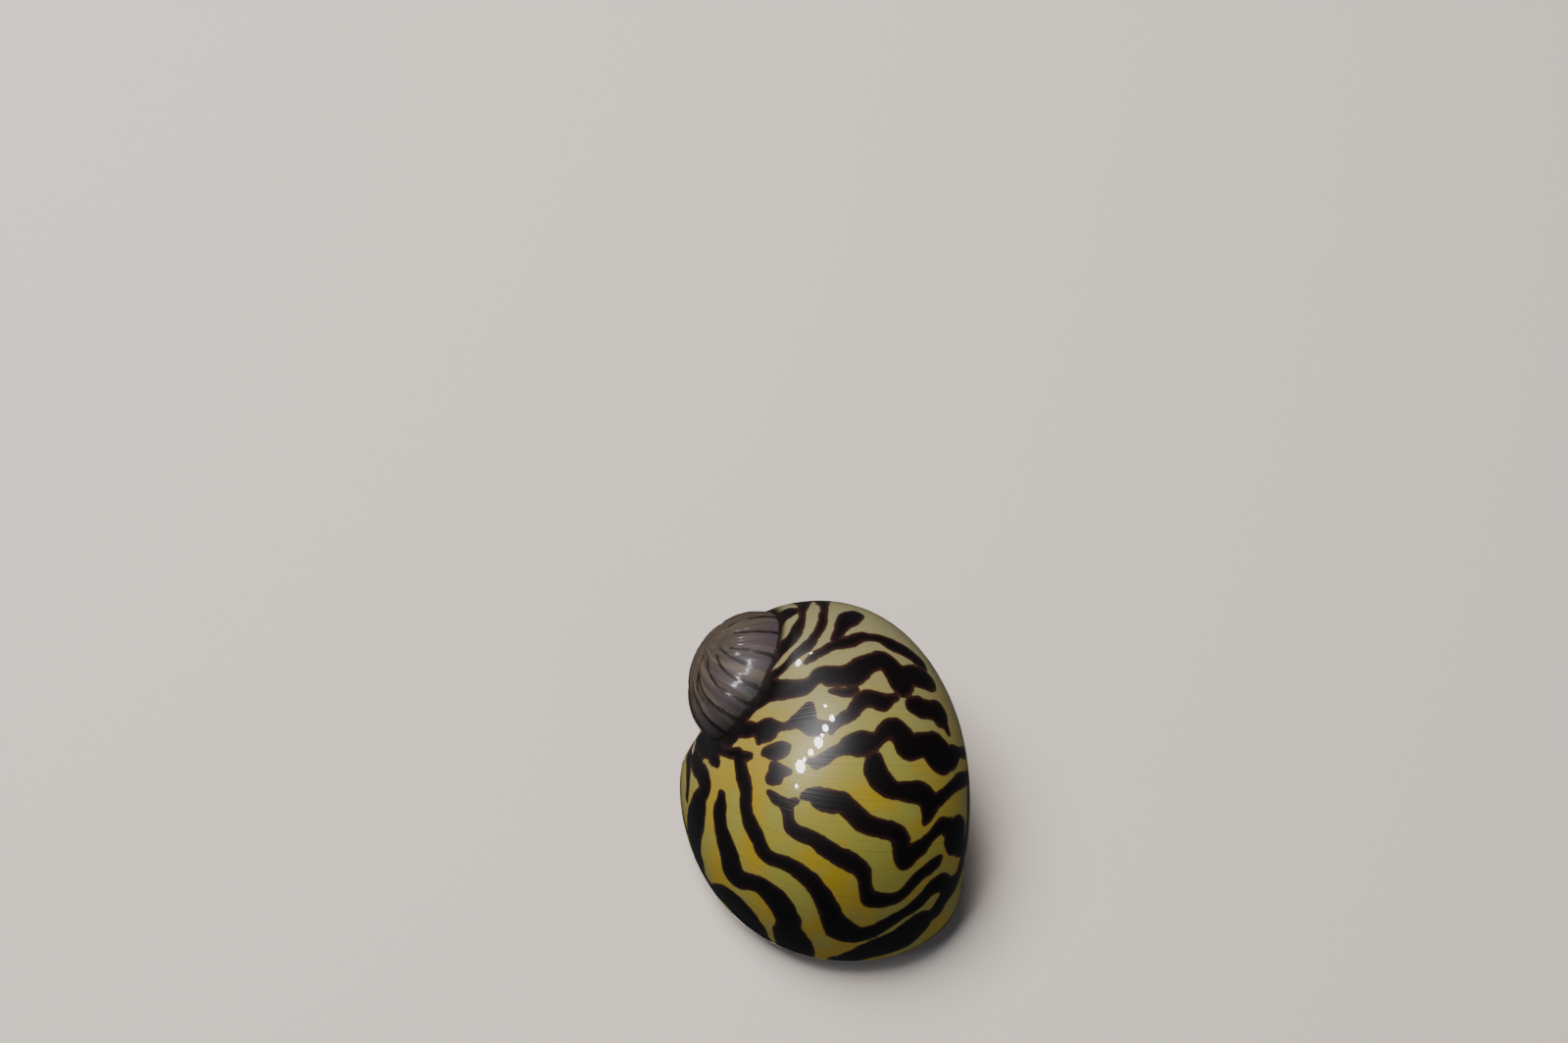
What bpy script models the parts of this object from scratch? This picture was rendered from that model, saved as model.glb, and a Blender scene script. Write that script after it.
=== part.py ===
# Zebra nerite, a small river snail, at rest and clamped down on its sole, at life size.
# Metres, +Z up. The head end faces -Y, and the spire leans back over the animal's right, towards -X.
# The origin is on the floor, under the middle of the whole animal.

import math

import bmesh
import bpy
import numpy as np
from mathutils import Matrix, Vector, kdtree

MM = 0.001
FAR = 30 * MM  # beyond every piece
GAP = 0.3 * MM  # clearance between pieces that touch
SHORTEST_EDGE = 0.001 * MM
PARTING = 0.006 * MM
FINE_BALL = (36, 22)  # segments and rings
BALL = (24, 14)
SMALL_BALL = (16, 10)
TINY_BALL = (10, 6)
SMOOTH_BELOW = math.radians(35)

# Growth of the shell: every turn repeats the one before it, turned about the coiling axis and enlarged.
POLE = np.array((-7.25, 7.13, 10.7)) * MM  # tip of the spire
AXIS_SWING = math.radians(64)  # from +Y towards -X
AXIS_RISE = math.radians(31)
GROWTH_PER_TURN = 3.36

# The lip is a tapered oval that lies level, a little above the floor.
LIP_HEIGHT = 1.7 * MM
LIP_CENTRE = np.array((-0.4, -2.27)) * MM
LIP_HALF_LENGTH = 10.7 * MM
LIP_HALF_WIDTH = 7.55 * MM
LIP_TAPER = 0.08
LIP_TURN = math.radians(-42)  # of the oval's long side, from +X

# The oval is fuller in front of the right side than a true oval, as an angle round it and a spread.
SWELL_ANGLE = 285
SWELL_SPREAD = 75
SWELL_REACH = 0.6 * MM

# Where the lip's back corner climbs on to the turn before it, as angles round the oval and of growth.
CORNER_ANGLE = 172
CORNER_SPREAD = 30
CORNER_REACH = 0.6 * MM
SEAT_ANGLE = 276  # the place on the older turn that the corner meets
SEAT_TURN = 294  # and how far back in growth that turn is

BODY_START = -385  # growth angles in degrees, 0 at the lip
BODY_JOIN = -130  # the last whorl is made in two lengths, which overlap from here
BODY_OVERLAP_END = -105
BODY_STEP = 13
BODY_SIDES = 44

SEAM_SHRINK = 0.003  # share by which the older of two joined lengths is narrower at the join
SEAM_TAPER = 0.004  # and by which it narrows for each degree past it
ROUNDING = 0.02 * MM

# The young whorls are worn down to a smooth dome, whose top is the pole.
SPIRE_RISE = 3.9 * MM
SPIRE_RADIUS = 4.9 * MM
SPIRE_MIDDLE = (0, 0, -SPIRE_RISE)  # from the pole, along the coiling axis

# The opening under the lip, and the flat deck that closes its inner side.
WALL = 1.1 * MM
CAVITY_STEPS = ((-1.0, 0.0), (0.6, 0.1), (1.6, 0.6), (2.6, 1.5), (3.4, 3.2))  # height, inset in mm
CALLUS_STEPS = ((-0.5, 0.3), (0.0, 0.3), (0.8, 0.45), (1.6, 0.8), (2.4, 1.6), (3.0, 3.2))  # the same
DECK_EDGE = 0.2 * MM  # across the lip's oval, from its long axis
DECK_HALF_LENGTH = 8.2 * MM
DECK_INSET = 0.95 * MM
DECK_THICKNESS = 1.1 * MM
DECK_TEETH = 5
TOOTH_RADIUS = 0.42 * MM
TOOTH_SPACING = 1.1 * MM
TOOTH_SINK = 0.1 * MM

# Foot, measured along and across the lip's oval.
SOLE_CENTRE = np.array((0.2, -0.9)) * MM
SOLE_HALF_LENGTH = 8.9 * MM
SOLE_HALF_WIDTH = 5.5 * MM
SOLE_STEPS = ((0.0, 0.35), (0.12, 0.1), (0.35, 0.0), (0.58, 0.25))  # height, inset in mm
COLUMN_STEPS = ((0.75, 2.5), (1.6, 2.6), (2.6, 2.9), (3.2, 3.6))  # height, inset in mm
COLUMN_MIDDLE = -1.2 * MM  # across the oval
COLUMN_BACK = 0.4 * MM
COLUMN_TO_HEAD = 2.3 * MM  # along the oval; under the head the foot is only its sole
FOOT_SIDES = 44

# Operculum, the horny lid, which lies between the back of the foot and the deck.
LID_LOW = 0.88 * MM
LID_HIGH = 1.4 * MM
LID_CENTRE = np.array((-1.0, 0.6)) * MM
LID_HALF_LENGTH = 5.2 * MM
LID_REACH = 3.9 * MM
LID_SIDES = 36
LID_EDGE = 0.1 * MM
LID_BEVEL = 0.97

# Mantle edge, a soft band inside the lip.
MANTLE_INSET = 1.45 * MM
MANTLE_THICKNESS = 0.6 * MM
MANTLE_LOW = 1.75 * MM
MANTLE_HIGH = 2.7 * MM
MANTLE_FROM = 198
MANTLE_TO = 262
MANTLE_SIDES = 22
MANTLE_SECTION = ((0, 0.25), (0, 0.75), (0.3, 1), (0.7, 1), (1, 0.75), (1, 0.25), (0.7, 0), (0.3, 0))
MANTLE_ENDS = (0.55, 0.85)  # size of the first two sections at each end

# Head end. Positions are in millimetres from the head's middle plane, the floor and the origin's Y.
HEAD_X = 1.25 * MM
HEAD_CENTRE = np.array((0, -7.7, 3.05)) * MM
HEAD_RADII = np.array((1.9, 1.5, 1.15)) * MM
SNOUT_CENTRE = np.array((0, -8.9, 2.15)) * MM
SNOUT_RADII = np.array((1.25, 1.0, 0.85)) * MM
MOUTH_RADII = np.array((0.75, 0.5, 0.14)) * MM
MOUTH_CENTRE = np.array((0, -9.75, 1.85)) * MM
TENTACLE_PATH = np.array((
    (1.5, -8.5, 2.2), (2.1, -8.9, 1.7), (3.0, -8.95, 1.3), (4.0, -8.7, 1.08), (5.0, -8.1, 1.0))) * MM
TENTACLE_RADIUS = 0.34 * MM
TENTACLE_TIP_RADIUS = 0.1 * MM
TENTACLE_SIDES = 12
TENTACLE_RINGS = 14
STALK_ROOT = np.array((1.5, -7.85, 3.2)) * MM
STALK_TIP = np.array((2.3, -8.25, 3.3)) * MM
STALK_RADIUS = 0.38 * MM
STALK_SIDES = 14
STALK_RINGS = 5
EYE_RADIUS = 0.41 * MM


# The lip and the growth of the shell

def coiling_axis():
    level = math.cos(AXIS_RISE)
    return np.array((-math.sin(AXIS_SWING) * level, math.cos(AXIS_SWING) * level, math.sin(AXIS_RISE)))


def turn_matrix(degrees):
    axis = coiling_axis()
    cross = np.array(((0, -axis[2], axis[1]), (axis[2], 0, -axis[0]), (-axis[1], axis[0], 0)))
    angle = math.radians(degrees)
    return np.eye(3) + math.sin(angle) * cross + (1 - math.cos(angle)) * cross @ cross


def grown(points, growth):
    # The same points when the shell had grown only to the angle `growth`, which is 0 or less.
    size = GROWTH_PER_TURN ** (growth / 360)
    return POLE + size * (points - POLE) @ turn_matrix(-growth).T


def lip_to_world(along, across, height):
    cosine, sine = math.cos(LIP_TURN), math.sin(LIP_TURN)
    x = LIP_CENTRE[0] + along * cosine - across * sine
    y = LIP_CENTRE[1] + along * sine + across * cosine
    return np.stack(np.broadcast_arrays(x, y, height), -1)


def lip_oval(angles, inset=0.0):
    turn = np.radians(angles)
    taper = 1 + LIP_TAPER * np.sin(turn)
    along = (LIP_HALF_LENGTH - inset) * np.cos(turn) * taper
    across = (LIP_HALF_WIDTH - inset) * np.sin(turn)
    return along, across


def swing_weight(angles, middle, spread):
    away = np.clip((np.asarray(angles) - middle) / spread, -1, 1)
    return np.cos(away * math.pi / 2) ** 2


def level_lip(angles, inset=0.0, height=LIP_HEIGHT):
    along, across = lip_oval(angles, inset)
    along = along - CORNER_REACH * swing_weight(angles, CORNER_ANGLE, CORNER_SPREAD)
    across = across - SWELL_REACH * swing_weight(angles, SWELL_ANGLE, SWELL_SPREAD)
    return lip_to_world(along, across, height)


def lip_curve(angles):
    # The level oval, with its back corner bent up on to the older turn.
    seat = grown(level_lip(np.array((SEAT_ANGLE,))), -SEAT_TURN)[0]
    corner = level_lip(np.array((CORNER_ANGLE,)))[0]
    weight = swing_weight(angles, CORNER_ANGLE, CORNER_SPREAD)
    return level_lip(angles) + weight[:, None] * (seat - corner)


def flattened(points, height):
    level = points.copy()
    level[:, 2] = height
    return level


# Mesh helpers

def add_object(name, vertices, faces):
    mesh = bpy.data.meshes.new(name)
    mesh.from_pydata([tuple(v) for v in vertices], [], faces)
    mesh.update()
    obj = bpy.data.objects.new(name, mesh)
    bpy.context.collection.objects.link(obj)
    return obj


def loft(name, rings):
    # A closed skin over rings of equal point count, with a fan of triangles at each end.
    count = len(rings[0])
    vertices = np.vstack(rings + [rings[0].mean(0)[None], rings[-1].mean(0)[None]])
    first, last = len(vertices) - 2, len(vertices) - 1
    faces = []
    for ring in range(len(rings) - 1):
        for side in range(count):
            after = (side + 1) % count
            low, high = ring * count, (ring + 1) * count
            faces.append((low + side, low + after, high + after, high + side))
    end = (len(rings) - 1) * count
    for side in range(count):
        after = (side + 1) % count
        faces.append((first, after, side))
        faces.append((last, end + side, end + after))
    obj = add_object(name, vertices, faces)
    split_to_triangles(obj)
    face_outwards(obj)
    return obj


def face_outwards(obj):
    shape = bmesh.new()
    shape.from_mesh(obj.data)
    bmesh.ops.recalc_face_normals(shape, faces=shape.faces[:])
    if shape.calc_volume(signed=True) < 0:
        bmesh.ops.reverse_faces(shape, faces=shape.faces[:])
    shape.to_mesh(obj.data)
    shape.free()


def ellipsoid(name, centre, radii, fineness=BALL):
    shape = bmesh.new()
    bmesh.ops.create_uvsphere(shape, u_segments=fineness[0], v_segments=fineness[1], radius=1.0)
    for vertex in shape.verts:
        vertex.co = Vector(centre) + Vector([vertex.co[i] * radii[i] for i in range(3)])
    mesh = bpy.data.meshes.new(name)
    shape.to_mesh(mesh)
    shape.free()
    obj = bpy.data.objects.new(name, mesh)
    bpy.context.collection.objects.link(obj)
    return obj


def box(name, low, high):
    shape = bmesh.new()
    bmesh.ops.create_cube(shape, size=1.0)
    for vertex in shape.verts:
        vertex.co = Vector([low[i] + (vertex.co[i] + 0.5) * (high[i] - low[i]) for i in range(3)])
    mesh = bpy.data.meshes.new(name)
    shape.to_mesh(mesh)
    shape.free()
    obj = bpy.data.objects.new(name, mesh)
    bpy.context.collection.objects.link(obj)
    return obj


def swollen(obj, name, thickness):
    # A copy of a closed mesh whose surface stands off by the given thickness.
    shape = bmesh.new()
    shape.from_mesh(obj.data)
    shape.normal_update()
    for vertex in shape.verts:
        vertex.co += vertex.normal * thickness
    mesh = bpy.data.meshes.new(name)
    shape.to_mesh(mesh)
    shape.free()
    copy = bpy.data.objects.new(name, mesh)
    bpy.context.collection.objects.link(copy)
    return copy


def combine(obj, other, operation, solver="EXACT"):
    # Applies one Boolean and uses up the other object.
    modifier = obj.modifiers.new("Boolean", "BOOLEAN")
    modifier.operation = operation
    modifier.solver = solver
    modifier.object = other
    view = bpy.context.evaluated_depsgraph_get()
    mesh = bpy.data.meshes.new_from_object(obj.evaluated_get(view))
    obj.modifiers.clear()
    obj.data = mesh
    bpy.data.objects.remove(other)


def carve(obj, other, operation):
    # EXACT leaves gaps where the growing tube is cut, so the shell is made with MANIFOLD.
    split_to_triangles(other)
    combine(obj, other, operation, "MANIFOLD")
    split_to_triangles(obj)


def split_to_triangles(obj):
    shape = bmesh.new()
    shape.from_mesh(obj.data)
    bmesh.ops.triangulate(shape, faces=shape.faces[:])
    shape.to_mesh(obj.data)
    shape.free()


def keep_largest(obj):
    # Drops every loose scrap that a cut left beside the piece itself.
    shape = bmesh.new()
    shape.from_mesh(obj.data)
    unseen = set(shape.faces)
    groups = []
    while unseen:
        start = unseen.pop()
        group, waiting = [start], [start]
        while waiting:
            face = waiting.pop()
            for edge in face.edges:
                for near in edge.link_faces:
                    if near in unseen:
                        unseen.remove(near)
                        group.append(near)
                        waiting.append(near)
        groups.append(group)
    groups.sort(key=lambda group: sum(face.calc_area() for face in group))
    loose = [face for group in groups[:-1] for face in group]
    bmesh.ops.delete(shape, geom=loose, context="FACES")
    bmesh.ops.dissolve_degenerate(shape, edges=shape.edges[:], dist=SHORTEST_EDGE)
    part_touching_points(shape)
    shape.to_mesh(obj.data)
    shape.free()


def part_touching_points(shape):
    # Where two cuts meet in one place, each point moves a hair towards its own neighbours.
    places = kdtree.KDTree(len(shape.verts))
    for index, vertex in enumerate(shape.verts):
        places.insert(vertex.co, index)
    places.balance()
    for vertex in shape.verts:
        if len(places.find_range(vertex.co, SHORTEST_EDGE)) > 1:
            near = [edge.other_vert(vertex).co for edge in vertex.link_edges]
            middle = sum(near, Vector()) / len(near)
            vertex.co = vertex.co + (middle - vertex.co).normalized() * PARTING


def material(name, colour, roughness):
    made = bpy.data.materials.new(name)
    made.use_nodes = True
    shader = made.node_tree.nodes["Principled BSDF"]
    shader.inputs["Base Color"].default_value = (*colour, 1.0)
    shader.inputs["Roughness"].default_value = roughness
    made.diffuse_color = (*colour, 1.0)
    return made


def finish(obj, made):
    obj.data.materials.clear()
    obj.data.materials.append(made)
    obj.data.shade_smooth()
    obj.data.set_sharp_from_angle(angle=SMOOTH_BELOW)
    return obj


# Shell

def horn(name, start, end, step, sides, curve, join=None):
    # A length of the growing tube between two growth angles, closed at both ends.
    # Past the angle `join` it narrows, so that its end lies inside the length it is joined to.
    angles = np.arange(sides) * 360 / sides
    lip = curve(angles)
    steps = max(2, round((end - start) / step))
    rings = []
    for growth in np.linspace(start, end, steps + 1):
        ring = grown(lip, growth)
        if join is not None:
            narrowing = SEAM_SHRINK + SEAM_TAPER * max(0.0, growth - join)
            ring = ring + (ring.mean(0) - ring) * narrowing
        rings.append(ring)
    if end == 0:
        rings.append(flattened(lip, LIP_HEIGHT - ROUNDING))
    return loft(name, rings)


def lip_coordinates(points):
    cosine, sine = math.cos(LIP_TURN), math.sin(LIP_TURN)
    offset = points[:, :2] - LIP_CENTRE
    along = offset[:, 0] * cosine + offset[:, 1] * sine
    across = -offset[:, 0] * sine + offset[:, 1] * cosine
    return along, across


def before_edge(ring, edge):
    # Moves the points that lie past a line along the oval on to that line.
    along, across = lip_coordinates(ring)
    return lip_to_world(along, np.minimum(across, edge), ring[0, 2])


def opening_rings():
    # The half-moon opening under the lip, from below the lip to its domed ceiling.
    angles = np.arange(BODY_SIDES) * 360 / BODY_SIDES
    rings = []
    for height, inset in CAVITY_STEPS:
        ring = level_lip(angles, WALL + inset * MM, LIP_HEIGHT + height * MM)
        rings.append(before_edge(ring, DECK_EDGE - inset * MM))
    return rings


def deck_rings():
    # The other half of the oval, let into the underside.
    angles = np.arange(BODY_SIDES) * 360 / BODY_SIDES
    along, across = lip_coordinates(level_lip(angles, DECK_INSET))
    along = np.clip(along, -DECK_HALF_LENGTH, DECK_HALF_LENGTH)
    across = np.maximum(across, DECK_EDGE)
    return [lip_to_world(along, across, LIP_HEIGHT), lip_to_world(along, across, LIP_HEIGHT + DECK_THICKNESS)]


def callus_rings():
    # A low smooth pad that closes the hollow at the coiling axis and the groove behind the lip.
    angles = np.arange(BODY_SIDES) * 360 / BODY_SIDES
    outline = lip_curve(angles)
    middle = outline.mean(0)
    rings = []
    for height, inset in CALLUS_STEPS:
        shrink = 1 - inset * MM / LIP_HALF_WIDTH
        rings.append(flattened(middle + (outline - middle) * shrink, LIP_HEIGHT + height * MM))
    return rings


def whole_body_whorl():
    body = horn("shell_body_whorl", BODY_JOIN, 0, BODY_STEP, BODY_SIDES, lip_curve)
    older = horn("older half", BODY_START, BODY_OVERLAP_END, BODY_STEP, BODY_SIDES, lip_curve, BODY_JOIN)
    carve(body, older, "UNION")
    carve(body, loft("callus", callus_rings()), "UNION")
    carve(body, box("under the lip", (-FAR, -FAR, -FAR), (FAR, FAR, LIP_HEIGHT)), "DIFFERENCE")
    carve(body, loft("opening", opening_rings()), "DIFFERENCE")
    carve(body, spire_dome("room for the spire", GAP), "DIFFERENCE")
    return body


def spire_dome(name, clearance=0.0):
    radii = (SPIRE_RADIUS + clearance, SPIRE_RADIUS + clearance, SPIRE_RISE + clearance)
    dome = ellipsoid(name, SPIRE_MIDDLE, radii, FINE_BALL)
    lean = Vector(coiling_axis()).to_track_quat("Z", "Y").to_matrix().to_4x4()
    dome.data.transform(Matrix.Translation(Vector(POLE)) @ lean)
    return dome


def columellar_deck(body):
    # The flat toothed plate under the body whorl, which gets a bed for it.
    deck = loft("shell_columellar_deck", deck_rings())
    carve(body, swollen(deck, "room for the deck", GAP), "DIFFERENCE")
    for tooth in range(DECK_TEETH):
        along = (tooth - (DECK_TEETH - 1) / 2) * TOOTH_SPACING
        place = lip_to_world(along, DECK_EDGE + TOOTH_SINK, LIP_HEIGHT + DECK_THICKNESS / 2)
        carve(deck, ellipsoid("tooth", place, (TOOTH_RADIUS,) * 3, TINY_BALL), "UNION")
    return deck


def shell_pieces():
    olive = material("glossy olive shell", (0.23, 0.22, 0.06), 0.15)
    grey = material("worn grey shell", (0.14, 0.12, 0.13), 0.3)
    porcelain = material("porcelain shell", (0.75, 0.72, 0.6), 0.2)
    body = whole_body_whorl()
    deck = columellar_deck(body)
    for piece, look in ((body, olive), (deck, porcelain), (spire_dome("shell_spire"), grey)):
        keep_largest(piece)
        finish(piece, look)


# Foot and lid

def foot_rings():
    # The flat sole, and the column that rises from it into the opening, short of the head.
    turn = np.arange(FOOT_SIDES) * 2 * math.pi / FOOT_SIDES
    cosine, sine = np.cos(turn), np.sin(turn)
    rings = []
    for height, inset in SOLE_STEPS:
        along = SOLE_CENTRE[0] + (SOLE_HALF_LENGTH - inset * MM) * cosine
        across = SOLE_CENTRE[1] + (SOLE_HALF_WIDTH - inset * MM) * sine
        rings.append(lip_to_world(along, across, height * MM))
    for height, inset in COLUMN_STEPS:
        tail = (LIP_HALF_LENGTH - inset * MM) * (1 + LIP_TAPER * sine)
        front = LIP_HALF_WIDTH - inset * MM + COLUMN_MIDDLE
        along = np.where(cosine < 0, tail, COLUMN_TO_HEAD) * cosine
        across = COLUMN_MIDDLE + np.where(sine < 0, front, COLUMN_BACK) * sine
        rings.append(lip_to_world(along, across, height * MM))
    return rings


def operculum():
    turn = np.arange(LID_SIDES) * 2 * math.pi / LID_SIDES
    along = LID_CENTRE[0] + LID_HALF_LENGTH * np.cos(turn)
    across = LID_CENTRE[1] + LID_REACH * (1 + np.sin(turn)) / 2
    middle = across.mean()
    heights = (LID_LOW, LID_LOW + LID_EDGE, LID_HIGH - LID_EDGE, LID_HIGH)
    rings = []
    for height, size in zip(heights, (LID_BEVEL, 1.0, 1.0, LID_BEVEL)):
        rings.append(lip_to_world(along * size, middle + (across - middle) * size, height))
    return finish(loft("operculum", rings), material("horny lid", (0.10, 0.03, 0.015), 0.25))


def mantle_edge(skin):
    # A band of even width, swept along the inside of the lip and rounded at its ends.
    angles = np.linspace(MANTLE_FROM, MANTLE_TO, MANTLE_SIDES)
    outer = level_lip(angles, MANTLE_INSET, 0.0)
    inner = level_lip(angles, MANTLE_INSET + MANTLE_THICKNESS, 0.0)
    rings = []
    for i in range(MANTLE_SIDES):
        middle = (outer[i] + inner[i]) / 2
        end = min(i, MANTLE_SIDES - 1 - i)
        slim = MANTLE_ENDS[end] if end < len(MANTLE_ENDS) else 1.0
        ring = []
        for side, height in MANTLE_SECTION:
            point = outer[i] + (inner[i] - outer[i]) * side
            point = middle + (point - middle) * slim
            point[2] = MANTLE_LOW + (MANTLE_HIGH - MANTLE_LOW) * (0.5 + (height - 0.5) * slim)
            ring.append(point)
        rings.append(np.array(ring))
    return finish(loft("mantle_edge", rings), skin)


# Head end

def tube(name, points, radii, sides):
    # A round skin along a smooth path.
    rings = []
    for i, point in enumerate(points):
        ahead = points[min(i + 1, len(points) - 1)] - points[max(i - 1, 0)]
        ahead = ahead / np.linalg.norm(ahead)
        across = np.cross(ahead, (0, 0, 1))
        across = across / np.linalg.norm(across)
        above = np.cross(across, ahead)
        turn = np.arange(sides)[:, None] * 2 * math.pi / sides
        rings.append(point + radii[i] * (np.cos(turn) * across + np.sin(turn) * above))
    return loft(name, rings)


def smooth_path(knots, count):
    # Points along a Catmull-Rom curve through the knots.
    padded = np.vstack((2 * knots[0] - knots[1], knots, 2 * knots[-1] - knots[-2]))
    points = []
    for place in np.linspace(0, len(knots) - 1, count):
        start = min(int(place), len(knots) - 2)
        t = place - start
        a, b, c, d = padded[start:start + 4]
        points.append(0.5 * (2 * b + (c - a) * t + (2 * a - 5 * b + 4 * c - d) * t ** 2
                             + (3 * b - a - 3 * c + d) * t ** 3))
    return np.array(points)


def mirrored(points, side):
    # Points given for the left side, moved to the head's middle plane on the side asked for.
    return points * (side, 1, 1) + (HEAD_X, 0, 0)


def head_pieces(skin):
    eye_look = material("black eye", (0.004, 0.004, 0.005), 0.05)
    head = ellipsoid("head", mirrored(HEAD_CENTRE, 1), HEAD_RADII)
    snout = ellipsoid("snout", mirrored(SNOUT_CENTRE, 1), SNOUT_RADII)
    combine(snout, swollen(head, "room for the head", GAP), "DIFFERENCE")
    combine(snout, ellipsoid("mouth", mirrored(MOUTH_CENTRE, 1), MOUTH_RADII, SMALL_BALL), "DIFFERENCE")
    keep_largest(snout)
    for name, side in (("left", 1), ("right", -1)):
        path = smooth_path(mirrored(TENTACLE_PATH, side), TENTACLE_RINGS)
        radii = np.linspace(TENTACLE_RADIUS, TENTACLE_TIP_RADIUS, TENTACLE_RINGS)
        tentacle = tube("tentacle_" + name, path, radii, TENTACLE_SIDES)
        for body in (head, snout):
            combine(tentacle, swollen(body, "room for the root", GAP), "DIFFERENCE")
        keep_largest(tentacle)
        finish(tentacle, skin)
        root, tip = mirrored(STALK_ROOT, side), mirrored(STALK_TIP, side)
        radii = np.full(STALK_RINGS, STALK_RADIUS)
        stalk = tube("eye_" + name, np.linspace(root, tip, STALK_RINGS), radii, STALK_SIDES)
        combine(stalk, ellipsoid("eyeball", tip, (EYE_RADIUS,) * 3, SMALL_BALL), "UNION")
        combine(stalk, swollen(head, "room for the head", GAP), "DIFFERENCE")
        keep_largest(stalk)
        finish(stalk, eye_look)
    finish(head, skin)
    finish(snout, skin)


def main():
    for obj in list(bpy.data.objects):
        bpy.data.objects.remove(obj)
    skin = material("dark wet skin", (0.055, 0.05, 0.045), 0.3)
    shell_pieces()
    finish(loft("foot", foot_rings()), skin)
    operculum()
    mantle_edge(skin)
    head_pieces(skin)


main()
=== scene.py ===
import math

import bmesh
import bpy
import numpy as np
from mathutils import Matrix, Vector
from mathutils.bvhtree import BVHTree


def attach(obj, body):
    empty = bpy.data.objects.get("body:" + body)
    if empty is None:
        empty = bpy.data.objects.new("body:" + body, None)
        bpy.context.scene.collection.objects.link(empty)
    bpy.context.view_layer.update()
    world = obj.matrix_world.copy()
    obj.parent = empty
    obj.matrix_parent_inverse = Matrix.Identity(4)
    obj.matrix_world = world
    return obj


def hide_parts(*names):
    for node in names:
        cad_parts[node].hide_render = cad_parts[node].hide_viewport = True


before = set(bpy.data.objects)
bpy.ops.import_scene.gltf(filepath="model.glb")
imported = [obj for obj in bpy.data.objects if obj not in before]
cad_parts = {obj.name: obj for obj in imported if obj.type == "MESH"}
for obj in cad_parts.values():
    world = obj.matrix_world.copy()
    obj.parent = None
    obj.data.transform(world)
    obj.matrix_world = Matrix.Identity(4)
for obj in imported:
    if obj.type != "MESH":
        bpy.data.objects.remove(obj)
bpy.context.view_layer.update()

print("frame loaded")

# Shapes are worked out in millimetres and made metres as they become objects.

growth = {
    "pole": (-7.25, 7.13, 10.7),   # tip of the spire
    "swing": 64,                   # degrees from +Y towards -X
    "rise": 31,
    "perTurn": 3.36,
}

lip = {
    "height": 1.7,
    "centre": (-0.4, -2.27),
    "halfLength": 10.7,
    "halfWidth": 7.55,
    "taper": 0.08,
    "turn": -42,                   # degrees, of the long side from +X
    "swell": (285, 75, 0.6),       # angle round the oval, spread, reach
    "corner": (172, 30, 0.6),
    "seat": (276, 294),            # where the back corner meets the older turn
}


def turnAxis():
    level = math.cos(math.radians(growth["rise"]))
    swing = math.radians(growth["swing"])
    return -math.sin(swing) * level, math.cos(swing) * level, math.sin(math.radians(growth["rise"]))


def turnMatrix(degrees):
    return np.array(Matrix.Rotation(math.radians(degrees), 3, Vector(turnAxis())))


def grown(points, angle):
    size = growth["perTurn"] ** (angle / 360)
    pole = np.array(growth["pole"])
    return pole + size * (points - pole) @ turnMatrix(-angle).T


def bump(angles, middle, spread):
    away = np.clip((np.asarray(angles, float) - middle) / spread, -1, 1)
    return np.cos(away * math.pi / 2) ** 2


def lipToWorld(along, across, height):
    turn = math.radians(lip["turn"])
    x = lip["centre"][0] + along * math.cos(turn) - across * math.sin(turn)
    y = lip["centre"][1] + along * math.sin(turn) + across * math.cos(turn)
    return np.stack(np.broadcast_arrays(x, y, height), -1)


def lipPlan(points):
    turn = math.radians(lip["turn"])
    away = points[:, :2] - np.array(lip["centre"])
    return (away[:, 0] * math.cos(turn) + away[:, 1] * math.sin(turn),
            -away[:, 0] * math.sin(turn) + away[:, 1] * math.cos(turn))


def levelLip(angles, inset=0.0, height=None):
    turn = np.radians(angles)
    along = (lip["halfLength"] - inset) * np.cos(turn) * (1 + lip["taper"] * np.sin(turn))
    across = (lip["halfWidth"] - inset) * np.sin(turn)
    along = along - lip["corner"][2] * bump(angles, lip["corner"][0], lip["corner"][1])
    across = across - lip["swell"][2] * bump(angles, lip["swell"][0], lip["swell"][1])
    return lipToWorld(along, across, lip["height"] if height is None else height)


def lipCurve(angles):
    seatAngle, seatTurn = lip["seat"]
    seat = grown(levelLip(np.array((seatAngle,))), -seatTurn)[0]
    corner = levelLip(np.array((lip["corner"][0],)))[0]
    weight = bump(angles, lip["corner"][0], lip["corner"][1])
    return levelLip(angles) + weight[:, None] * (seat - corner)


def linear(hexColour):
    channels = [int(hexColour[i:i + 2], 16) / 255 for i in (1, 3, 5)]
    return (*[c / 12.92 if c <= 0.04045 else ((c + 0.055) / 1.055) ** 2.4 for c in channels], 1.0)


def makeObject(name, points, faces):
    mesh = bpy.data.meshes.new(name)
    mesh.from_pydata((np.asarray(points) * 0.001).tolist(), [], faces)
    mesh.update()
    piece = bpy.data.objects.new(name, mesh)
    bpy.context.collection.objects.link(piece)
    return piece


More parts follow.
